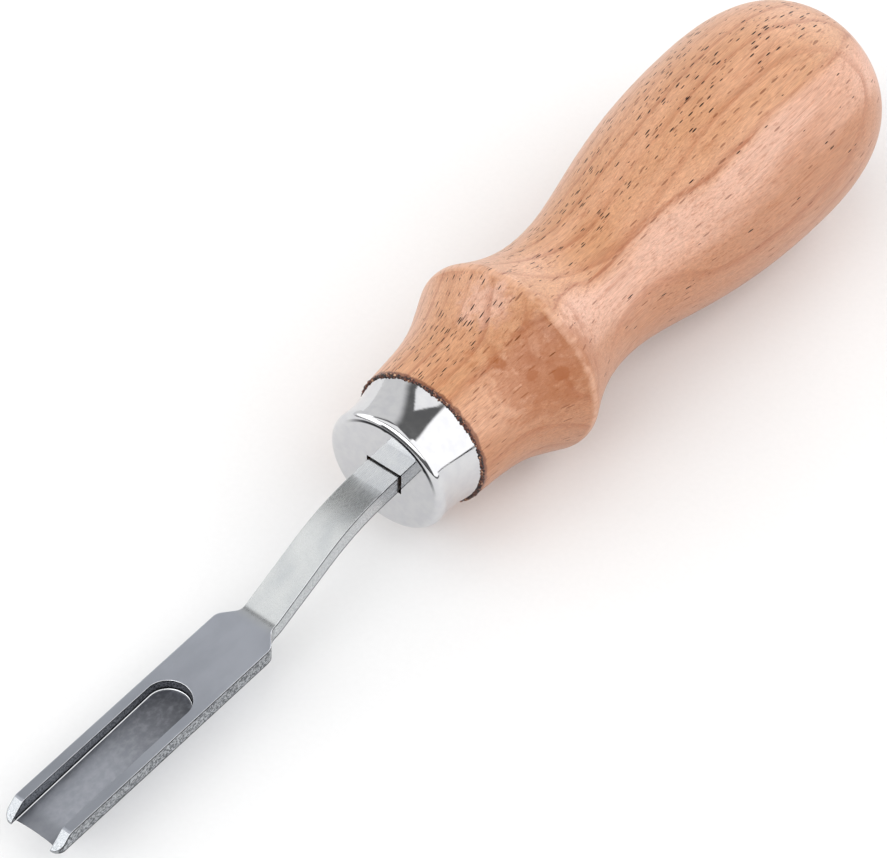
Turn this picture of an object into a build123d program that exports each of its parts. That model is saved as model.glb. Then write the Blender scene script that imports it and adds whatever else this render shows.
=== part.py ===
from build123d import *
import math
import os

# Edge beveler for leather: a turned beech handle, a drawn steel ferrule, and a one-piece blade
# whose tang is bedded in the handle.
# Frame, in millimetres: the origin is on the handle's axis in the plane of the ferrule's flat
# front face. +Y runs along the axis to the butt, -Y to the cutting edge, and +Z is the side that
# the blade's channel opens towards.

# --- handle ---------------------------------------------------------------------------------
LIP_RADIUS = 10.5            # wood just behind the ferrule
LIP_ROUND = 0.3
COVE_MID_Y = 19.0
COVE_MID_RADIUS = 11.85
CREST_Y = 27.1               # turned ridge in front of the grip, before it is rounded
CREST_RADIUS = 15.35
CREST_RISE = 0.44            # change of the radius per unit of length in front of the ridge
CREST_FALL = 0.56            # and behind it
CREST_ROUND = 2.2
NECK_Y = 41.5
NECK_RADIUS = 11.13
NECK_PULL = 10.95            # how far the grip follows the neck before it widens
BELLY_PULL = 22.5            # and how far in front of the belly it has already filled out
BELLY_Y = 82.0
BELLY_RADIUS = 16.4
BUTT_SIDE_PULL = 14.0        # how far the butt's curve follows the side before it turns in
BUTT_END_PULL = 12.5         # and how wide it stays flat across the end
HANDLE_END_Y = 103.3

# --- ferrule --------------------------------------------------------------------------------
FERRULE_REAR_Y = 8.15
FERRULE_REAR_RADIUS = 10.2
FERRULE_WAIST_Y = 4.0
FERRULE_WAIST_RADIUS = 9.42
FERRULE_RIM_RADIUS = 9.55
FERRULE_RIM_ROUND = 1.2
FERRULE_FACE_WALL = 0.9
SPIGOT_FRONT_RADIUS = 8.6    # the handle's spigot fills the ferrule
SPIGOT_REAR_RADIUS = 9.35
SLOT_GAP = 0.35              # clearance round the shank where it passes the ferrule

# --- blade shank ----------------------------------------------------------------------------
SHANK_TOP_Z = 1.35           # upper surface of the shank where it leaves the ferrule
SHANK_WIDTH_REAR = 5.2
SHANK_WIDTH_FRONT = 5.4
SHANK_THICK_REAR = 3.0
SHANK_THICK_FRONT = 2.2
BLADE_EDGE_ROUND = 0.15      # the upper edges of shank and head are broken
BEND_Y = -9.96               # the shank turns down here, on a large radius
BEND_ANGLE = 22.7            # degrees
BEND_RADIUS = 31.7
CREASE_Y = -25.75            # and turns back here into the head, on a small one
CREASE_RADIUS = 3.0

# --- blade head -----------------------------------------------------------------------------
HEAD_PITCH = 1.86            # degrees, the head rises towards the cutting edge
HEAD_WIDTH = 9.44
HEAD_THICK = 2.5
SHOULDER_REAR_Y = -26.7
SHOULDER_FRONT_Y = -29.1
SHOULDER_ROUND = 2.0
CUTTING_EDGE_Y = -70.0
CUTTING_EDGE_HOLLOW = 0.2
RUNNER_TIP_Y = -70.9         # the runners at both sides reach past the cutting edge
RUNNER_TIP_ROUND = 1.3
RUNNER_BEVEL_Y = -68.4       # their front bevel starts here on the upper surface
RUNNER_BEVEL_ROUND = 1.0
RUNNER_NOSE = 0.25           # height of the blunt nose under the front bevel

# --- blade channel --------------------------------------------------------------------------
CHANNEL_WIDTH = 6.53
CHANNEL_REAR_Y = -41.05
CHANNEL_DEPTH_REAR = 1.75
CHANNEL_FLOOR_ROUND = 0.35
CHANNEL_RIM_ROUND = 0.1      # the channel's upper edge is polished round
EDGE_LAND = 0.08             # steel left under the channel's floor at the cutting edge

# --- tang and its bedding -------------------------------------------------------------------
TANG_LENGTH = 48.0
TANG_END_WIDTH = 3.0
TANG_END_THICK = 1.8
TANG_BORE_RADIUS = 3.35
TANG_BORE_END_Y = 52.0
DRILL_POINT_LENGTH = 2.0

OVERRUN = 20.0               # how far a cutting shape runs past what it cuts

pitch = math.radians(HEAD_PITCH)
bend = math.radians(BEND_ANGLE)
shank_axis_z = SHANK_TOP_Z - SHANK_THICK_REAR / 2
crease_top_z = SHANK_TOP_Z + (CREASE_Y - BEND_Y) * math.tan(bend)


def head_top_z(y):
    """Height of the head's upper surface at y."""
    return crease_top_z - (y - CREASE_Y) * math.tan(pitch)


def sole_z(y):
    """Height of the head's flat underside at y."""
    return head_top_z(y) - HEAD_THICK / math.cos(pitch)


def side_points(points):
    """(y, z) pairs as points in the plane x = 0."""
    return [Vector(0, y, z) for y, z in points]


def spread(outline, half_width):
    """Extrude an outline in the plane x = 0 to both sides of it."""
    return extrude(make_face(outline), amount=half_width, dir=(1, 0, 0), both=True)


def turned(outline):
    """Turn an outline about the Y axis; its x is the radius and its y runs along the axis."""
    return revolve(make_face(outline), axis=Axis.Y)


def tang_bore():
    """Drilled hole for the tang, with the drill's cone at its end."""
    return turned([Polyline(
        (0, FERRULE_FACE_WALL),
        (TANG_BORE_RADIUS, FERRULE_FACE_WALL),
        (TANG_BORE_RADIUS, TANG_BORE_END_Y),
        (0, TANG_BORE_END_Y + DRILL_POINT_LENGTH),
        close=True,
    )])


def make_handle():
    """Turned handle: spigot inside the ferrule, lip, cove, ridge, waisted grip and round butt."""
    lip_start = (LIP_RADIUS - LIP_ROUND, FERRULE_REAR_Y)
    lip_end = (LIP_RADIUS, FERRULE_REAR_Y + LIP_ROUND)
    spigot = Polyline(
        (0, HANDLE_END_Y),
        (0, FERRULE_FACE_WALL),
        (SPIGOT_FRONT_RADIUS, FERRULE_FACE_WALL),
        (SPIGOT_REAR_RADIUS, FERRULE_REAR_Y),
        lip_start,
    )
    lip = RadiusArc(lip_start, lip_end, -LIP_ROUND)
    cove = Spline(
        lip_end,
        (COVE_MID_RADIUS, COVE_MID_Y),
        (CREST_RADIUS, CREST_Y),
        tangents=[(0.08, 1), (CREST_RISE, 1)],
    )
    waist = Spline(
        (CREST_RADIUS, CREST_Y),
        (NECK_RADIUS, NECK_Y),
        tangents=[(-CREST_FALL, 1), (0, 1)],
    )
    grip = Bezier(
        (NECK_RADIUS, NECK_Y),
        (NECK_RADIUS, NECK_Y + NECK_PULL),
        (BELLY_RADIUS, BELLY_Y - BELLY_PULL),
        (BELLY_RADIUS, BELLY_Y),
    )
    butt = Bezier(
        (BELLY_RADIUS, BELLY_Y),
        (BELLY_RADIUS, BELLY_Y + BUTT_SIDE_PULL),
        (BUTT_END_PULL, HANDLE_END_Y),
        (0, HANDLE_END_Y),
    )
    body = turned([spigot, lip, cove, waist, grip, butt])
    ridge = body.edges().filter_by_position(Axis.Y, CREST_Y - 0.1, CREST_Y + 0.1)[0]
    return fillet(ridge, CREST_ROUND) - tang_bore()


def make_ferrule():
    """Deep-drawn cap: flat front face with the shank's slot, round rim, waisted and flared skirt."""
    rim_start = (FERRULE_RIM_RADIUS - FERRULE_RIM_ROUND, 0)
    rim_end = (FERRULE_RIM_RADIUS, FERRULE_RIM_ROUND)
    rim = RadiusArc(rim_start, rim_end, -FERRULE_RIM_ROUND)
    skirt = Spline(
        rim_end,
        (FERRULE_WAIST_RADIUS, FERRULE_WAIST_Y),
        (FERRULE_REAR_RADIUS, FERRULE_REAR_Y),
        tangents=[(-0.1, 1), (0.35, 1)],
    )
    inside = Polyline(
        (FERRULE_REAR_RADIUS, FERRULE_REAR_Y),
        (SPIGOT_REAR_RADIUS, FERRULE_REAR_Y),
        (SPIGOT_FRONT_RADIUS, FERRULE_FACE_WALL),
        (0, FERRULE_FACE_WALL),
        (0, 0),
        rim_start,
    )
    slot = Pos(0, 0, shank_axis_z) * Box(
        SHANK_WIDTH_REAR + 2 * SLOT_GAP,
        3 * FERRULE_FACE_WALL,
        SHANK_THICK_REAR + 2 * SLOT_GAP,
    )
    return turned([rim, skirt, inside]) - slot


def blade_side_outline():
    """Side view of the blade: straight tang, shank bent down and back up, flat head."""
    mid = (bend - pitch) / 2
    bend_drop = SHANK_THICK_REAR / math.cos(bend / 2)
    shank_under_bend = (
        BEND_Y + bend_drop * math.sin(bend / 2),
        SHANK_TOP_Z - bend_drop * math.cos(bend / 2),
    )
    under_crease_y = CREASE_Y + SHANK_THICK_FRONT * math.sin(mid)
    tang_half = TANG_END_THICK / 2
    upper = FilletPolyline(
        *side_points([
            (TANG_LENGTH, shank_axis_z + tang_half),
            (0, SHANK_TOP_Z),
            (BEND_Y, SHANK_TOP_Z),
            (CREASE_Y, crease_top_z),
            (RUNNER_BEVEL_Y, head_top_z(RUNNER_BEVEL_Y)),
            (RUNNER_TIP_Y, sole_z(RUNNER_TIP_Y) + RUNNER_NOSE),
        ]),
        radius=[OVERRUN, BEND_RADIUS, CREASE_RADIUS, RUNNER_BEVEL_ROUND],
    )
    lower = FilletPolyline(
        *side_points([
            (RUNNER_TIP_Y, sole_z(RUNNER_TIP_Y)),
            (under_crease_y, sole_z(under_crease_y)),
            shank_under_bend,
            (0, SHANK_TOP_Z - SHANK_THICK_REAR),
            (TANG_LENGTH, shank_axis_z - tang_half),
        ]),
        radius=[CREASE_RADIUS + SHANK_THICK_FRONT, BEND_RADIUS - SHANK_THICK_REAR, OVERRUN],
    )
    nose = Line(upper @ 1, lower @ 0)
    tang_end = Line(lower @ 1, upper @ 0)
    return [upper, nose, lower, tang_end]


def blade_plan():
    """Plan view of the blade, a face in the XY plane."""
    half_head = HEAD_WIDTH / 2
    side = FilletPolyline(
        (TANG_END_WIDTH / 2, TANG_LENGTH),
        (SHANK_WIDTH_REAR / 2, 0),
        (SHANK_WIDTH_FRONT / 2, SHOULDER_REAR_Y),
        (half_head, SHOULDER_FRONT_Y),
        (half_head, RUNNER_TIP_Y),
        (0, RUNNER_TIP_Y),
        radius=[OVERRUN, SHOULDER_ROUND, SHOULDER_ROUND, RUNNER_TIP_ROUND],
    )
    middle = Polyline((0, RUNNER_TIP_Y), (0, TANG_LENGTH), (TANG_END_WIDTH / 2, TANG_LENGTH))
    right_half = make_face([side, middle])
    return right_half + mirror(right_half, about=Plane.YZ)


def channel_cutter():
    """The milled channel: straight sides, a round rear end and a floor that runs down to the edge."""
    half = CHANNEL_WIDTH / 2
    round_centre_y = CHANNEL_REAR_Y - half
    front_y = RUNNER_TIP_Y - 1
    floor_rear_z = head_top_z(CHANNEL_REAR_Y) - CHANNEL_DEPTH_REAR
    floor_edge_z = sole_z(CUTTING_EDGE_Y) + EDGE_LAND
    floor_slope = (floor_edge_z - floor_rear_z) / (CUTTING_EDGE_Y - CHANNEL_REAR_Y)
    floor_front_z = floor_edge_z + (front_y - CUTTING_EDGE_Y) * floor_slope
    plan = make_face([
        Polyline((half, round_centre_y), (half, front_y), (-half, front_y), (-half, round_centre_y)),
        ThreePointArc((-half, round_centre_y), (0, CHANNEL_REAR_Y), (half, round_centre_y)),
    ])
    column = extrude(plan, amount=OVERRUN, both=True)
    rear_y = CHANNEL_REAR_Y + 1
    above_floor = spread(
        [Polyline(*side_points([
            (rear_y, floor_rear_z + floor_slope),
            (front_y, floor_front_z),
            (front_y, floor_front_z + OVERRUN),
            (rear_y, floor_rear_z + OVERRUN),
        ]), close=True)],
        half + 1,
    )
    cutter = column & above_floor
    floor = cutter.faces().sort_by(Axis.Z)[0]
    wall_edges = [edge for edge in floor.edges() if edge.center().Y > front_y + 0.1]
    return fillet(wall_edges, CHANNEL_FLOOR_ROUND)


def edge_cutter():
    """Removes the web in front of the slightly hollow cutting edge, between the runners."""
    half = CHANNEL_WIDTH / 2
    front_y = RUNNER_TIP_Y - 1
    face = make_face([
        ThreePointArc(
            (-half, CUTTING_EDGE_Y),
            (0, CUTTING_EDGE_Y + CUTTING_EDGE_HOLLOW),
            (half, CUTTING_EDGE_Y),
        ),
        Polyline((half, CUTTING_EDGE_Y), (half, front_y), (-half, front_y), (-half, CUTTING_EDGE_Y)),
    ])
    return extrude(face, amount=OVERRUN, both=True)


def make_blade():
    """One piece of steel: channelled head, bent shank and tapered tang."""
    side = spread(blade_side_outline(), HEAD_WIDTH)
    blank = (side & extrude(blade_plan(), amount=OVERRUN, both=True)).solid()
    head_mid_y = (SHOULDER_FRONT_Y + RUNNER_BEVEL_Y) / 2
    upper_edges = [
        edge for edge in blank.edges().filter_by(GeomType.LINE)
        if edge.length > HEAD_WIDTH and edge.center().Y < SHOULDER_FRONT_Y
        and edge.center().Z > head_top_z(head_mid_y) - HEAD_THICK / 2
    ]
    blank = fillet(upper_edges, BLADE_EDGE_ROUND)
    milled = blank - channel_cutter()
    rim_edges = [
        edge for edge in milled.edges()
        if edge.center().Y > RUNNER_BEVEL_Y and edge.center().Y < CHANNEL_REAR_Y
        and abs(edge.center().Z - head_top_z(edge.center().Y)) < CHANNEL_FLOOR_ROUND
        and abs(edge.center().X) < CHANNEL_WIDTH / 2 + CHANNEL_RIM_ROUND
    ]
    return fillet(rim_edges, CHANNEL_RIM_ROUND) - edge_cutter()


def make_tang_adhesive(blade):
    """Epoxy that fills the bore round the tang."""
    return tang_bore() - blade


blade = make_blade()
nodes = {
    "handle": make_handle(),
    "ferrule": make_ferrule(),
    "blade": blade,
    "tang_adhesive": make_tang_adhesive(blade),
}

os.makedirs("parts", exist_ok=True)
for name, shape in nodes.items():
    export_step(shape, f"parts/{name}.step")
    print(name, len(shape.solids()), "solid,", round(shape.volume, 1), "mm3")
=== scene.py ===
import math

import bmesh
import bpy
from mathutils import Matrix, Vector, noise


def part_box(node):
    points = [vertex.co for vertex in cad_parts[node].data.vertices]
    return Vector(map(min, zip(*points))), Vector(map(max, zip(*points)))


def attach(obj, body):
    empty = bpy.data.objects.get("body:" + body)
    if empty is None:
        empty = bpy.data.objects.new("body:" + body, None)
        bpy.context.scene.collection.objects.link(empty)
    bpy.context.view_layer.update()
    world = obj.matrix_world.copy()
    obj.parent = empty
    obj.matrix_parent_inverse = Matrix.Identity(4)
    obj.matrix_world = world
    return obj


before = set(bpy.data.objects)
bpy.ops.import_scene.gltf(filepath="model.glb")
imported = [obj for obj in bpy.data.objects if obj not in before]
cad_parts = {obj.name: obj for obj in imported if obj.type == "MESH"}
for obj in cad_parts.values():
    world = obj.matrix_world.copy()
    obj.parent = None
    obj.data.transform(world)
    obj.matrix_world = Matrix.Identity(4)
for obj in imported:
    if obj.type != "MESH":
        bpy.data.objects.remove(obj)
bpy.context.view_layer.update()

MM = 0.001

# Camera: the direction it looks from, its roll, its distance and lens, and how far the point it
# looks at lies to the right of and above the origin, as the camera sees them.
CAMERA_AZIMUTH = math.radians(36.67)
CAMERA_ELEVATION = math.radians(48.93)
CAMERA_ROLL = math.radians(2.1)
CAMERA_DISTANCE = 598.1 * MM
CAMERA_LENS = 182.5          # mm, on a sensor 36 mm wide
CAMERA_SENSOR_WIDTH = 36.0
CAMERA_CLIP_START = 10 * MM
CAMERA_CLIP_END = 20.0
TARGET_RIGHT = 7.92 * MM
TARGET_UP = 5.98 * MM

# The tool lies on the handle's crest and belly, with the blade just clear of the floor.
CREST_FRONT_Y = 20 * MM
CREST_REAR_Y = 32 * MM
BELLY_FRONT_Y = 60 * MM
FLOOR_SIZE = 4.0
STUDIO_TILT = 0.0664         # the studio's level against the handle's axis, radians

# The bead of glue at the ferrule's rear edge. Its half thickness changes slowly and quickly round
# the ferrule, at a number of waves per radian, and each section is lumpy as well.
BEAD_SIZE = 0.23 * MM
BEAD_SLOW_CHANGE = 0.10 * MM
BEAD_SLOW_WAVES = 3.0
BEAD_QUICK_CHANGE = 0.15 * MM
BEAD_QUICK_WAVES = 32.0
BEAD_LUMPS = 0.35
BEAD_LUMP_WAVES = 60.0
BEAD_TURN_WAVES = 3.0        # lumps per radian round the section
BEAD_STRETCH = 1.3           # length along the handle over height
BEAD_PROUD = 0.06 * MM       # its middle is this far outside the ferrule's rear rim
BEAD_BEHIND = 0.1 * MM       # and this far behind it
BEAD_STEPS_AROUND = 720
BEAD_STEPS_SECTION = 10

# Radiance of the parts of the studio.
WALL_GREY = 0.88
FRONT_PANEL = 2.9
LEFT_PANEL = 2.0
REAR_PANEL = 2.7
RIGHT_PANEL = 1.6
OVERHEAD_PANEL = 1.25
GAP_GREY = 0.16
HORIZON_GREY = 0.03
EDGE_SOFT = 0.04             # half the width of the panels' soft edges, in parts of a direction


# ---------------------------------------------------------------------------------------------
# Node helpers
# ---------------------------------------------------------------------------------------------

class Graph:
    """A small helper that adds and links shader nodes of one material or world."""

    def __init__(self, tree):
        self.tree = tree

    def add(self, kind, inputs=None, **settings):
        """Add a node; settings are its properties and inputs its values or links."""
        node = self.tree.nodes.new(kind)
        for name, value in settings.items():
            setattr(node, name, value)
        for name, value in (inputs or {}).items():
            self.plug(node.inputs[name], value)
        return node

    def plug(self, socket, value):
        """Link a socket to another node's output, or set it to a number or a tuple."""
        if isinstance(value, bpy.types.NodeSocket):
            self.tree.links.new(value, socket)
        else:
            socket.default_value = value

    def math(self, operation, first, second=0.0):
        """The output of a Math node; operations on one number ignore the second."""
        return self.add("ShaderNodeMath", {0: first, 1: second}, operation=operation).outputs[0]

    def product(self, *factors):
        """The factors multiplied together; of masks, 1 where all of them are 1."""
        result = factors[0]
        for factor in factors[1:]:
            result = self.math("MULTIPLY", result, factor)
        return result

    def hypotenuse(self, first, second):
        """The square root of the sum of two squares."""
        squares = self.math("ADD", self.product(first, first), self.product(second, second))
        return self.math("SQRT", squares)

    def vector(self, operation, first, second=(0.0, 0.0, 0.0)):
        """The output of a Vector Math node: a number for a length or a dot product."""
        node = self.add("ShaderNodeVectorMath", {0: first, 1: second}, operation=operation)
        return node.outputs["Value" if operation in ("LENGTH", "DOT_PRODUCT") else "Vector"]

    def step(self, value, low, high, from_low=0.0, to_high=1.0):
        """Smooth ramp of a value: from_low at low, to_high at high."""
        ends = {"From Min": low, "From Max": high, "To Min": from_low, "To Max": to_high}
        node = self.add(
            "ShaderNodeMapRange", {"Value": value, **ends}, interpolation_type="SMOOTHSTEP",
        )
        return node.outputs["Result"]

    def noise(self, vector, detail=2.0, roughness=0.5):
        """Noise about 0.5 whose grain is one unit of the vector."""
        node = self.add("ShaderNodeTexNoise", {
            "Vector": vector, "Scale": 1.0, "Detail": detail, "Roughness": roughness,
        })
        return node.outputs["Fac"]

    def mix(self, factor, first, second, blend="MIX"):
        """The first colour where the factor is 0, the second where it is 1."""
        node = self.add("ShaderNodeMix", data_type="RGBA", blend_type=blend)
        self.plug(node.inputs[0], factor)
        self.plug(node.inputs[6], first)
        self.plug(node.inputs[7], second)
        return node.outputs[2]

    def cloudy(self, noise_value, low, high, colours):
        """The first of two colours where a noise is low, the second where it is high."""
        return self.mix(self.step(noise_value, low, high), colours[0], colours[1])

    def stretched(self, across, along, offset=(0.0, 0.0, 0.0)):
        """Position over a grain size in millimetres, given across and along the Y axis."""
        scale = (1 / (MM * across), 1 / (MM * along), 1 / (MM * across))
        node = self.add("ShaderNodeMapping", {
            "Vector": self.position(), "Scale": scale, "Location": offset,
        })
        return node.outputs["Vector"]

    def position(self):
        """Position in the row frame, in metres."""
        return self.add("ShaderNodeTexCoord").outputs["Object"]

    def millimetres(self):
        """(x, y, z) position outputs in millimetres."""
        scaled = self.add("ShaderNodeMapping", {"Vector": self.position(), "Scale": (1 / MM,) * 3})
        split = self.add("ShaderNodeSeparateXYZ", {0: scaled.outputs["Vector"]})
        return split.outputs[0], split.outputs[1], split.outputs[2]

    def normal(self):
        """(x, y, z) outputs of the surface's own normal."""
        geometry = self.add("ShaderNodeNewGeometry")
        split = self.add("ShaderNodeSeparateXYZ", {0: geometry.outputs["Normal"]})
        return split.outputs[0], split.outputs[1], split.outputs[2]

    def bump(self, height, distance, strength):
        """The normal tilted by a height map, whose unit is a distance in metres."""
        node = self.add("ShaderNodeBump", {
            "Height": height, "Distance": distance, "Strength": strength,
        })
        return node.outputs["Normal"]


def new_material(name):
    """A material with only its Principled shader: the material, its graph and the shader."""
    material = bpy.data.materials.new(name)
    material.use_nodes = True
    graph = Graph(material.node_tree)
    shader = material.node_tree.nodes["Principled BSDF"]
    return material, graph, shader


# ---------------------------------------------------------------------------------------------
# Materials
# ---------------------------------------------------------------------------------------------

def srgb(red, green, blue):
    """An sRGB colour, 0 to 255, as linear RGBA."""
    def linear(channel):
        value = channel / 255
        return value / 12.92 if value <= 0.04045 else ((value + 0.055) / 1.055) ** 2.4
    return (linear(red), linear(green), linear(blue), 1.0)


# Wood. Its growth rings are cylinders about a pith that lies below the handle and leans a little
# to its axis, and a wavy plane along the grain parts an orange half from a pink one.
MEAN_RADIUS = 13.5           # mm, the handle's, to lay flecks round it
PITH_ANGLE = math.radians(228)
PITH_REACH = 46.0            # mm from the handle's axis at PITH_REACH_Y
PITH_REACH_Y = 60.0
PITH_LEAN = 0.06
RING_WIDTH = 3.1             # mm
RING_WARP = 6.0              # mm that the rings wander
SPLIT_ANGLE = math.radians(29)
SPLIT_WAVE = 12.0            # mm that the plane between the halves wanders
RIDGE_Y = 26.9               # mm, the sharp ridge between cove and neck
SEAM_Y = 8.15                # mm, where the ferrule ends
SEAM_FRAY = 1.1              # mm that the glue's stain reaches unevenly along the wood
FLECK_REACH_LEAST = 0.12     # size of a fleck in its cell
FLECK_REACH_MOST = 0.34
FLECK_EDGE = 0.07

# Places in millimetres on the cove, each with its radius. They are at full strength in the core
# part of that radius, and a noise about 0.5, times the fray part of it, moves their edge.
PATCH_CORE = 0.35
PATCH_FRAY = 1.8
STAIN_SPOTS = ((5.5, 18.0, 10.5, 1.7), (9.0, 20.0, 8.5, 1.8), (11.5, 23.5, 7.5, 2.2))
STAIN_CLOUD = (9.5, 22.0, 9.5, 10.0)
PALE_PATCH = (-1.5, 23.0, 13.5, 5.0)

WOOD_ORANGE = srgb(205, 153, 119)
WOOD_TAN = srgb(196, 143, 105)
# Painted shade for the handle's lower right side.
WOOD_RUSSET_SHADE = srgb(174, 117, 80)
WOOD_PINK = srgb(213, 168, 146)
WOOD_ROSE = srgb(206, 156, 130)
WOOD_BROWN = srgb(152, 82, 44)
WOOD_DARK = srgb(98, 44, 22)
WOOD_BLACK = srgb(30, 12, 6)
WOOD_STAIN = srgb(152, 80, 26)
# A painted highlight along the ridge.
WOOD_RIDGE_HIGHLIGHT = srgb(222, 178, 152)

# Chrome plating, polished or hazy, and a painted dark reflection round the face's edge.
CHROME_POLISHED = srgb(204, 204, 207)
CHROME_HAZY = srgb(211, 211, 212)
PAINTED_RIM_REFLECTION = srgb(44, 44, 46)
RIM_REFLECTION_TURN = 0.26        # how much the line's middle is turned from the top to the right

# The blade's finishes, each the two colours that its noise runs between.
BRUSHED = (srgb(204, 206, 206), srgb(190, 193, 195))
SATIN = (srgb(184, 188, 197), srgb(173, 177, 186))
MILLED = (srgb(186, 189, 197), srgb(172, 176, 185))
CUT_WALL = (srgb(84, 85, 88), srgb(164, 166, 170))
GROUND_TIP = (srgb(172, 175, 178), srgb(120, 123, 127))
SHANK_SIDE = (srgb(212, 214, 216), srgb(176, 179, 182))
HEAD_SIDE = (srgb(184, 187, 191), srgb(88, 91, 96))
SATIN_FRONT = srgb(146, 150, 158)
MILLED_FRONT = srgb(128, 131, 138)
# Painted shade on the channel's floor at its rear and along its walls.
PAINTED_CHANNEL_SHADE = srgb(78, 79, 84)
# Rounded edges lightened as a painted highlight.
RUBBED_EDGE_HIGHLIGHT = srgb(222, 224, 226)
# Painted shade and dark reflection along the edges of side faces.
PAINTED_EDGE_LINE = srgb(36, 38, 42)
EDGE_LINE_REACH = 0.4 * MM

# The blade's places in millimetres along Y, and the channel's half width.
HEAD_REAR_Y = -25.4
HEAD_FULL_Y = -28.0
CHANNEL_HALF_WIDTH = 3.265
CHANNEL_ROUND_Y = -44.315    # the centre of the channel's round rear end
TIP_BEVEL_Y = -68.3

# The other materials, each the two colours that its noise runs between.
EPOXY = (srgb(70, 42, 22), srgb(108, 72, 40))
GLUE = (srgb(20, 10, 7), srgb(100, 40, 22))
GLUE_DUST = srgb(204, 164, 130)
PAPER = (srgb(233, 233, 233), srgb(237, 237, 237))


def flecks(g, around, along, width, length, share, seed):
    """Dashes along the grain: cells of a given size round the handle, a share of them filled."""
    place = g.add("ShaderNodeCombineXYZ", {
        0: g.math("DIVIDE", around, width),
        1: g.math("DIVIDE", along, length),
        2: seed,
    })
    cells = g.add("ShaderNodeTexVoronoi", {"Vector": place.outputs[0], "Scale": 1.0})
    chance = g.add("ShaderNodeSeparateColor", {0: cells.outputs["Color"]})
    reach = g.step(chance.outputs[1], 0.0, 1.0, FLECK_REACH_LEAST, FLECK_REACH_MOST)
    inside = g.math("SUBTRACT", reach, cells.outputs["Distance"])
    filled = g.math("LESS_THAN", chance.outputs[0], share)
    return g.product(g.step(inside, 0.0, FLECK_EDGE), filled)


def near(g, place, clump):
    """1 at a place on the surface, falling to 0 at a radius that a noise makes uneven."""
    centre = tuple(part * MM for part in place[:3])
    radius = place[3] * MM
    away = g.vector("LENGTH", g.vector("SUBTRACT", g.position(), centre))
    uneven = g.product(g.math("SUBTRACT", clump, 0.5), PATCH_FRAY * radius)
    return g.step(g.math("ADD", away, uneven), PATCH_CORE * radius, radius, 1.0, 0.0)


def late_wood(g, x, y, z):
    """1 in the dark outer part of each growth ring, where it shows."""
    warp = g.noise(g.stretched(16, 70))
    lean = g.product(g.math("SUBTRACT", y, PITH_REACH_Y), PITH_LEAN)
    pith_x = g.math("ADD", lean, PITH_REACH * math.sin(PITH_ANGLE))
    pith_z = g.math("ADD", lean, PITH_REACH * math.cos(PITH_ANGLE))
    radius = g.hypotenuse(g.math("SUBTRACT", x, pith_x), g.math("SUBTRACT", z, pith_z))
    grown = g.math("DIVIDE", g.math("ADD", radius, g.product(warp, RING_WARP)), RING_WIDTH)
    ring = g.math("FRACT", grown)
    patchy = g.noise(g.stretched(7, 30, (5.0, 1.0, 3.0)))
    return g.product(
        g.step(ring, 0.68, 0.95),
        g.step(ring, 0.95, 1.0, 1.0, 0.0),
        g.step(patchy, 0.35, 0.65, 0.25, 1.0),
    )


def across_split(g):
    """Millimetres from the wavy plane between the orange and the pink half, pink side positive."""
    wave = g.noise(g.stretched(10, 45, (1.0, 4.0, 2.0)), detail=3.0)
    across = (math.cos(SPLIT_ANGLE) / MM, 0.0, -math.sin(SPLIT_ANGLE) / MM)
    straight = g.vector("DOT_PRODUCT", g.position(), across)
    return g.math("ADD", straight, g.product(g.math("SUBTRACT", wave, 0.5), SPLIT_WAVE))


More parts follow.
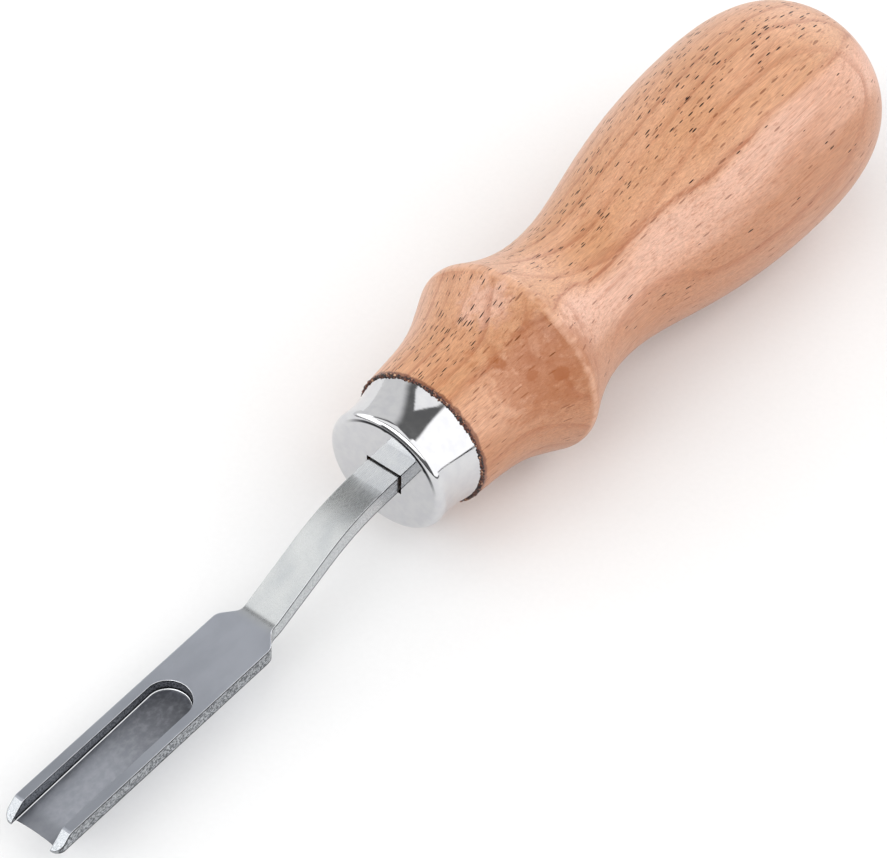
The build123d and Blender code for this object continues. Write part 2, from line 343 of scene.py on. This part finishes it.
def beech():
    """Steamed beech under satin lacquer: rings, an orange and a pink half, fibres, flecks."""
    material, g, shader = new_material("beech_lacquered")
    x, y, z = g.millimetres()
    angle = g.math("ARCTAN2", x, z)
    around = g.product(angle, MEAN_RADIUS)
    facing_end = g.math("ABSOLUTE", g.normal()[1])
    side_grain = g.step(facing_end, 0.75, 0.95, 1.0, 0.0)

    cloud = g.noise(g.stretched(6, 22, (3.1, 0.4, 1.7)), detail=3.0)
    streak = g.noise(g.stretched(1.0, 18, (0.0, 2.0, 5.0)), detail=4.0, roughness=0.65)
    mottle = g.noise(g.stretched(0.26, 2.4), detail=3.0, roughness=0.65)
    fibre = g.noise(g.stretched(0.10, 2.2), roughness=0.6)
    hair = g.noise(g.stretched(0.3, 7.0, (2.0, 0.0, 9.0)), detail=3.0, roughness=0.7)
    clump = g.noise(g.stretched(1.5, 2.0, (7.0, 1.0, 0.0)), detail=3.0, roughness=0.6)

    # The two halves, the brown border between them, and russet painted shade far into the pink one,
    # which darkens the handle's lower right side.
    side = across_split(g)
    pink_half = g.product(g.step(side, -1.5, 2.5), g.step(y, 24.0, 32.0, 0.35, 1.0))
    orange = g.mix(g.step(cloud, 0.35, 0.65), WOOD_ORANGE, WOOD_TAN)
    pink = g.mix(g.step(cloud, 0.35, 0.65), WOOD_PINK, WOOD_ROSE)
    colour = g.mix(pink_half, orange, pink)
    colour = g.mix(g.product(near(g, PALE_PATCH, clump), 0.85), colour, WOOD_PINK)
    colour = g.mix(g.step(streak, 0.54, 0.76, 0.0, 0.4), colour, WOOD_BROWN)
    colour = g.mix(g.product(g.step(side, 4.0, 9.0), 0.8), colour, WOOD_RUSSET_SHADE)
    colour = g.mix(g.product(late_wood(g, x, y, z), 0.5), colour, WOOD_BROWN)
    border = g.product(
        g.step(side, -1.3, -0.3),
        g.step(side, -0.2, 0.4, 1.0, 0.0),
        g.step(streak, 0.4, 0.6, 0.25, 0.75),
    )
    colour = g.mix(border, colour, WOOD_BROWN)

    # Hair lines, the darker end grain, and the light and shade of the fibres.
    colour = g.mix(g.step(hair, 0.52, 0.68, 0.0, 0.42), colour, WOOD_BROWN)
    colour = g.mix(g.step(facing_end, 0.35, 0.9, 0.0, 0.32), colour, WOOD_BROWN)
    shade = g.product(g.step(mottle, 0.3, 0.7, 1.09, 0.9), g.step(fibre, 0.3, 0.7, 1.1, 0.9))
    shade_colour = g.add("ShaderNodeCombineColor", {0: shade, 1: shade, 2: shade}).outputs[0]
    colour = g.mix(1.0, colour, shade_colour, "MULTIPLY")

    # Flecks: fine ones everywhere, brown ones mostly in the orange half, black ones in a stripe.
    brown_share = g.step(pink_half, 0.0, 1.0, 0.45, 0.14)
    stripe = g.product(g.step(angle, -1.0, -0.7), g.step(angle, 0.0, 0.25, 1.0, 0.0))
    black_share = g.product(
        g.step(stripe, 0.0, 1.0, 0.05, 1.0),
        g.step(cloud, 0.34, 0.54, 0.12, 0.85),
    )
    fine = flecks(g, around, y, 0.30, 1.8, 0.55, 0.0)
    brown = flecks(g, around, y, 0.45, 2.6, brown_share, 7.0)
    black = flecks(g, around, y, 0.34, 2.0, black_share, 13.0)
    colour = g.mix(g.product(fine, side_grain, 0.3), colour, WOOD_BROWN)
    colour = g.mix(g.product(brown, side_grain, 0.55), colour, WOOD_DARK)
    colour = g.mix(g.product(black, side_grain), colour, WOOD_BLACK)

    # Brown stains on the cove, a pale painted highlight along the ridge, wood darkened by glue at
    # the seam.
    stain = g.product(near(g, STAIN_CLOUD, clump), g.step(clump, 0.3, 0.65, 0.55, 0.85))
    for spot in STAIN_SPOTS:
        stain = g.math("MAXIMUM", stain, near(g, spot, clump))
    colour = g.mix(g.product(stain, 0.85), colour, WOOD_STAIN)
    off_ridge = g.math("ABSOLUTE", g.math("SUBTRACT", y, RIDGE_Y))
    ridge_highlight = g.product(g.step(off_ridge, 0.1, 0.8, 1.0, 0.0), g.step(clump, 0.35, 0.6, 0.2, 1.0))
    colour = g.mix(g.product(ridge_highlight, 0.45), colour, WOOD_RIDGE_HIGHLIGHT)
    from_seam = g.math("SUBTRACT", g.math("SUBTRACT", y, SEAM_Y), g.product(clump, SEAM_FRAY))
    seam = g.step(from_seam, -0.1, 0.25, 1.0, 0.0)
    colour = g.mix(g.product(seam, 0.75), colour, WOOD_DARK)
    g.plug(shader.inputs["Base Color"], colour)

    # The fibres make the lacquer uneven, and open pores are dents that it doesn't fill.
    g.plug(shader.inputs["Roughness"], g.step(fibre, 0.3, 0.7, 0.40, 0.52))
    dents = g.math("ADD", g.product(black, 2.0), brown)
    height = g.math("SUBTRACT", g.math("ADD", g.product(fibre, 0.3), mottle), dents)
    g.plug(shader.inputs["Normal"], g.bump(height, 0.03 * MM, 0.6))
    open_pore = g.product(g.math("MAXIMUM", black, g.product(brown, 0.6)), side_grain)
    g.plug(shader.inputs["Coat Weight"], g.step(open_pore, 0.0, 1.0, 0.5, 0.0))
    shader.inputs["Specular IOR Level"].default_value = 0.25
    shader.inputs["Coat Roughness"].default_value = 0.3
    return material


def chromed_steel():
    """Bright plating over a drawn cap, with faint drawing marks and polishing haze."""
    material, g, shader = new_material("chromed_steel")
    x, _, z = g.millimetres()
    haze = g.noise(g.stretched(1.4, 1.4), detail=3.0)
    marks = g.noise(g.stretched(6.0, 0.22))
    plating = g.cloudy(haze, 0.3, 0.7, (CHROME_POLISHED, CHROME_HAZY))

    # A painted dark reflection runs round the upper half of the face, where it begins to curve to
    # the side.
    facing_front = g.product(g.normal()[1], -1.0)
    upward = g.math("ADD", g.product(x, RIM_REFLECTION_TURN), z)
    rim_reflection = g.product(
        g.step(facing_front, 0.86, 0.93),
        g.step(facing_front, 0.982, 0.996, 1.0, 0.0),
        g.step(upward, 3.5, 7.5),
    )
    g.plug(shader.inputs["Base Color"], g.mix(rim_reflection, plating, PAINTED_RIM_REFLECTION))
    shader.inputs["Metallic"].default_value = 1.0
    g.plug(shader.inputs["Roughness"], g.step(haze, 0.35, 0.75, 0.05, 0.11))
    g.plug(shader.inputs["Normal"], g.bump(marks, 0.01 * MM, 0.3))
    return material


def painted_edge_lines(g):
    """1 close to the upper or the lower edge of a side face, told by a normal averaged there: where
    the painted dark lines of shade and reflection go.
    """
    averaged = g.add("ShaderNodeBevel", {"Radius": EDGE_LINE_REACH}, samples=8)
    tilt = g.add("ShaderNodeSeparateXYZ", {0: averaged.outputs[0]}).outputs[2]
    return g.math("MAXIMUM", g.step(tilt, 0.03, 0.15), g.step(tilt, -0.15, -0.03, 1.0, 0.0))


def blade_steel():
    """Hardened steel: brushed shank, satin ground head, milled channel with painted shade, rough cut
    sides.
    """
    material, g, shader = new_material("blade_steel")
    x, y, _ = g.millimetres()
    nx, _, nz = g.normal()

    # Masks of the head, the channel's floor and walls, the outer sides, tips and broken edges.
    head = g.step(y, HEAD_FULL_Y, HEAD_REAR_Y, 1.0, 0.0)
    behind = g.math("MAXIMUM", g.math("SUBTRACT", y, CHANNEL_ROUND_Y), 0.0)
    to_wall = g.math("SUBTRACT", CHANNEL_HALF_WIDTH, g.hypotenuse(x, behind))
    not_sole = g.step(nz, -0.6, -0.3)
    sunk = g.product(g.step(to_wall, -0.04, 0.0), head, not_sole)
    facing_up = g.step(nz, 0.5, 0.8)
    channel_floor = g.product(sunk, facing_up)
    channel_wall = g.product(sunk, g.math("SUBTRACT", 1.0, facing_up))
    outside = g.math("SUBTRACT", 1.0, sunk)
    outer_side = g.product(g.step(g.math("ABSOLUTE", nx), 0.6, 0.85), outside)
    side_faces = g.math("MAXIMUM", outer_side, channel_wall)
    tips = g.product(g.step(y, TIP_BEVEL_Y - 0.4, TIP_BEVEL_Y, 1.0, 0.0), outside)
    rounded = g.product(g.step(nz, 0.15, 0.35), g.step(nz, 0.78, 0.88, 1.0, 0.0))

    cloud = g.noise(g.stretched(3.5, 7.0), detail=4.0)
    blotch = g.noise(g.stretched(0.8, 1.2, (4.0, 0.0, 2.0)), detail=4.0, roughness=0.6)
    grind = g.noise(g.stretched(0.06, 3.0), roughness=0.7)
    cut = g.noise(g.stretched(0.22, 0.3, (0.0, 3.0, 0.0)), detail=1.0, roughness=0.7)

    # The head and the channel's floor are darker towards the cutting edge, and painted shade darkens
    # the channel's floor at its rear and along its walls.
    satin = g.cloudy(cloud, 0.3, 0.7, SATIN)
    satin = g.mix(g.step(y, -66.0, -34.0, 0.45, 0.0), satin, SATIN_FRONT)
    milled = g.cloudy(blotch, 0.3, 0.7, MILLED)
    milled = g.mix(g.step(y, -68.6, -66.0, 0.5, 0.0), milled, MILLED_FRONT)
    at_wall = g.math(
        "MAXIMUM",
        g.step(to_wall, 0.1, 1.3, 0.7, 0.0),
        g.step(to_wall, 0.2, 0.45, 1.2, 0.0),
    )
    channel_shade = g.math("MAXIMUM", g.step(y, -60.0, -42.0), at_wall)
    channel_shade = g.product(channel_shade, g.step(blotch, 0.25, 0.6, 0.6, 0.8), channel_floor)

    colour = g.mix(head, g.cloudy(cloud, 0.3, 0.7, BRUSHED), satin)
    colour = g.mix(channel_floor, colour, milled)
    colour = g.mix(channel_shade, colour, PAINTED_CHANNEL_SHADE)
    colour = g.mix(channel_wall, colour, g.cloudy(cut, 0.35, 0.65, CUT_WALL))
    # Rounded edges that face partly upward get a lighter colour as a painted highlight; their lower
    # roughness below is real polish.
    colour = g.mix(rounded, colour, RUBBED_EDGE_HIGHLIGHT)
    colour = g.mix(tips, colour, g.cloudy(grind, 0.4, 0.65, GROUND_TIP))
    shank_side = g.cloudy(cut, 0.35, 0.65, SHANK_SIDE)
    head_side = g.cloudy(cut, 0.4, 0.6, HEAD_SIDE)
    colour = g.mix(outer_side, colour, g.mix(head, shank_side, head_side))
    # Painted shade and dark reflection: dark lines along the upper and lower edges of side faces.
    colour = g.mix(g.product(side_faces, painted_edge_lines(g)), colour, PAINTED_EDGE_LINE)
    g.plug(shader.inputs["Base Color"], colour)
    shader.inputs["Metallic"].default_value = 1.0

    roughness = g.step(head, 0.0, 1.0, 0.27, 0.36)
    roughness = g.math("ADD", roughness, g.product(channel_floor, 0.06))
    roughness = g.math("ADD", roughness, g.step(grind, 0.3, 0.7, -0.04, 0.05))
    roughness = g.math("SUBTRACT", roughness, g.product(rounded, 0.18))
    g.plug(shader.inputs["Roughness"], roughness)
    height = g.math("ADD", grind, g.product(side_faces, cut, 4.0))
    g.plug(shader.inputs["Normal"], g.bump(height, 0.006 * MM, 0.5))
    return material


def epoxy():
    """Dark cured adhesive, slightly cloudy."""
    material, g, shader = new_material("epoxy")
    cloud = g.noise(g.stretched(1.2, 1.2), detail=3.0)
    g.plug(shader.inputs["Base Color"], g.mix(cloud, EPOXY[0], EPOXY[1]))
    g.plug(shader.inputs["Roughness"], g.step(cloud, 0.3, 0.7, 0.25, 0.4))
    g.plug(shader.inputs["Normal"], g.bump(cloud, 0.05 * MM, 0.4))
    return material


def squeezed_glue():
    """Red-brown glue mixed with sanding dust, glossy in places."""
    material, g, shader = new_material("squeezed_glue")
    clump = g.noise(g.stretched(0.45, 0.3), detail=4.0, roughness=0.75)
    glue = g.cloudy(clump, 0.46, 0.56, GLUE)
    g.plug(shader.inputs["Base Color"], g.mix(g.step(clump, 0.57, 0.62), glue, GLUE_DUST))
    g.plug(shader.inputs["Roughness"], g.step(clump, 0.3, 0.7, 0.25, 0.6))
    g.plug(shader.inputs["Normal"], g.bump(clump, 0.15 * MM, 0.8))
    return material


def floor_paper():
    """Pale seamless paper."""
    material, g, shader = new_material("floor_paper")
    fleck = g.noise(g.stretched(0.8, 0.8))
    g.plug(shader.inputs["Base Color"], g.mix(fleck, PAPER[0], PAPER[1]))
    shader.inputs["Roughness"].default_value = 0.9
    return material


# ---------------------------------------------------------------------------------------------
# Studio
# ---------------------------------------------------------------------------------------------

def make_camera():
    """The camera: its back axis from azimuth and elevation, then rolled, then slid sideways."""
    azimuth, elevation = CAMERA_AZIMUTH, CAMERA_ELEVATION
    back = Vector((
        math.sin(azimuth) * math.cos(elevation),
        -math.cos(azimuth) * math.cos(elevation),
        math.sin(elevation),
    ))
    level_right = Vector((math.cos(azimuth), math.sin(azimuth), 0.0))
    level_up = back.cross(level_right)
    right = level_right * math.cos(CAMERA_ROLL) + level_up * math.sin(CAMERA_ROLL)
    up = back.cross(right)
    target = right * TARGET_RIGHT + up * TARGET_UP
    place = target + back * CAMERA_DISTANCE
    camera = bpy.data.cameras.new("camera")
    camera.sensor_width = CAMERA_SENSOR_WIDTH
    camera.lens = CAMERA_LENS
    camera.clip_start = CAMERA_CLIP_START
    camera.clip_end = CAMERA_CLIP_END
    obj = bpy.data.objects.new("camera", camera)
    bpy.context.scene.collection.objects.link(obj)
    axes = Matrix((right, up, back)).transposed().to_4x4()
    obj.matrix_world = Matrix.Translation(place) @ axes
    bpy.context.scene.camera = obj


def floor_plane():
    """A point and the upward normal of the plane that the crest and the belly rest on."""
    places = [vertex.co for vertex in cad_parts["handle"].data.vertices]
    crest = min((co for co in places if CREST_FRONT_Y < co.y < CREST_REAR_Y), key=lambda co: co.z)
    slope = max((crest.z - co.z) / (co.y - crest.y) for co in places if co.y > BELLY_FRONT_Y)
    return crest.copy(), Vector((0.0, slope, 1.0)).normalized()


def make_world():
    """The studio round the object, painted by direction: a grey room, bright panels on all sides
    and overhead, and dark gaps between them and along the horizon."""
    world = bpy.data.worlds.new("world")
    bpy.context.scene.world = world
    world.use_nodes = True
    g = Graph(world.node_tree)
    background = world.node_tree.nodes["Background"]
    direction = g.add("ShaderNodeTexCoord").outputs["Generated"]

    def beyond(axis, limit, soft=EDGE_SOFT):
        """1 for directions whose part along an axis is more than the limit."""
        return g.step(g.vector("DOT_PRODUCT", direction, axis), limit - soft, limit + soft)

    right, left, rear, front = (1, 0, 0), (-1, 0, 0), (0, 1, 0), (0, -1, 0)
    up = Vector((0.0, math.sin(STUDIO_TILT), math.cos(STUDIO_TILT)))
    down = -up
    front_left, front_right, mostly_right = (-1, -1, 0), (1, -1, 0), (1, -0.8, 0)
    lit_side = g.math(
        "MAXIMUM",
        g.product(beyond(left, 0.35), beyond(rear, -0.30)),
        beyond(rear, 0.66),
    )
    horizon = g.product(
        beyond(up, -0.20, 0.02),
        beyond(down, -0.04, 0.015),
        g.math("SUBTRACT", 1.0, lit_side),
    )

    # Each covers the ones before it.
    panels = (
        (REAR_PANEL, g.product(beyond(rear, 0.76), beyond(up, 0.10))),
        (LEFT_PANEL, g.product(beyond(left, 0.50), beyond(front, 0.05), beyond(up, 0.10))),
        (GAP_GREY, g.product(beyond(front, 0.20), beyond(right, -0.50))),
        (FRONT_PANEL, g.product(beyond(front, 0.50), beyond(up, 0.42))),
        (GAP_GREY, g.product(
            beyond(up, 0.60),
            beyond(mostly_right, -0.80, 0.12),
            beyond(front, -0.70),
            beyond(rear, -0.46),
        )),
        (RIGHT_PANEL, g.product(beyond(right, 0.30), beyond(up, 0.04, 0.01), beyond(rear, -0.40))),
        (OVERHEAD_PANEL, g.product(
            beyond(front_left, -0.18),
            beyond(front_right, -0.58),
            beyond(rear, -0.36),
            beyond(up, 0.4),
        )),
        (HORIZON_GREY, horizon),
    )
    room = (WALL_GREY, WALL_GREY, WALL_GREY, 1.0)
    for level, mask in panels:
        room = g.mix(mask, room, (level, level, level, 1.0))
    g.plug(background.inputs["Color"], room)


def make_floor():
    """A flat sheet of paper that the object lies on."""
    point, normal = floor_plane()
    bpy.ops.mesh.primitive_plane_add(size=FLOOR_SIZE)
    floor = bpy.context.object
    floor.name = "floor"
    tilt = Vector((0.0, 0.0, 1.0)).rotation_difference(normal).to_matrix().to_4x4()
    floor.matrix_world = Matrix.Translation(point) @ tilt
    floor.data.materials.append(floor_paper())


# ---------------------------------------------------------------------------------------------
# The object
# ---------------------------------------------------------------------------------------------

def make_joint_bead():
    """Rough bead of glue and lacquer squeezed out where the ferrule meets the wood."""
    ferrule_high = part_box("ferrule")[1]
    middle_y = ferrule_high.y + BEAD_BEHIND
    middle_radius = ferrule_high.x + BEAD_PROUD
    mesh = bpy.data.meshes.new("joint_bead")
    points = bmesh.new()
    rings = []
    for i in range(BEAD_STEPS_AROUND):
        turn = 2 * math.pi * i / BEAD_STEPS_AROUND
        outward = Vector((math.sin(turn), 0.0, math.cos(turn)))
        slow = noise.noise(outward * BEAD_SLOW_WAVES)
        quick = noise.noise(outward * BEAD_QUICK_WAVES)
        size = BEAD_SIZE + BEAD_SLOW_CHANGE * slow + BEAD_QUICK_CHANGE * quick
        ring = []
        for j in range(BEAD_STEPS_SECTION):
            section = 2 * math.pi * j / BEAD_STEPS_SECTION
            round_section = Vector((0.0, BEAD_TURN_WAVES * section, 0.0))
            lump = noise.noise(outward * BEAD_LUMP_WAVES + round_section)
            reach = size * (1 + BEAD_LUMPS * lump)
            place = outward * (middle_radius + reach * math.cos(section))
            place.y = middle_y + BEAD_STRETCH * reach * math.sin(section)
            ring.append(points.verts.new(place))
        rings.append(ring)
    for i, ring in enumerate(rings):
        following = rings[(i + 1) % BEAD_STEPS_AROUND]
        for j in range(BEAD_STEPS_SECTION):
            k = (j + 1) % BEAD_STEPS_SECTION
            points.faces.new((ring[j], ring[k], following[k], following[j]))
    bmesh.ops.recalc_face_normals(points, faces=points.faces)
    points.to_mesh(mesh)
    points.free()
    mesh.shade_smooth()
    bead = bpy.data.objects.new("joint_bead", mesh)
    bpy.context.scene.collection.objects.link(bead)
    mesh.materials.append(squeezed_glue())
    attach(bead, "root")


def give(node, material):
    """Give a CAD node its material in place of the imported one."""
    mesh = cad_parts[node].data
    mesh.materials.clear()
    mesh.materials.append(material)


give("handle", beech())
give("ferrule", chromed_steel())
give("blade", blade_steel())
give("tang_adhesive", epoxy())
make_joint_bead()

make_floor()
make_world()
make_camera()
bpy.context.scene.view_settings.view_transform = "Standard"
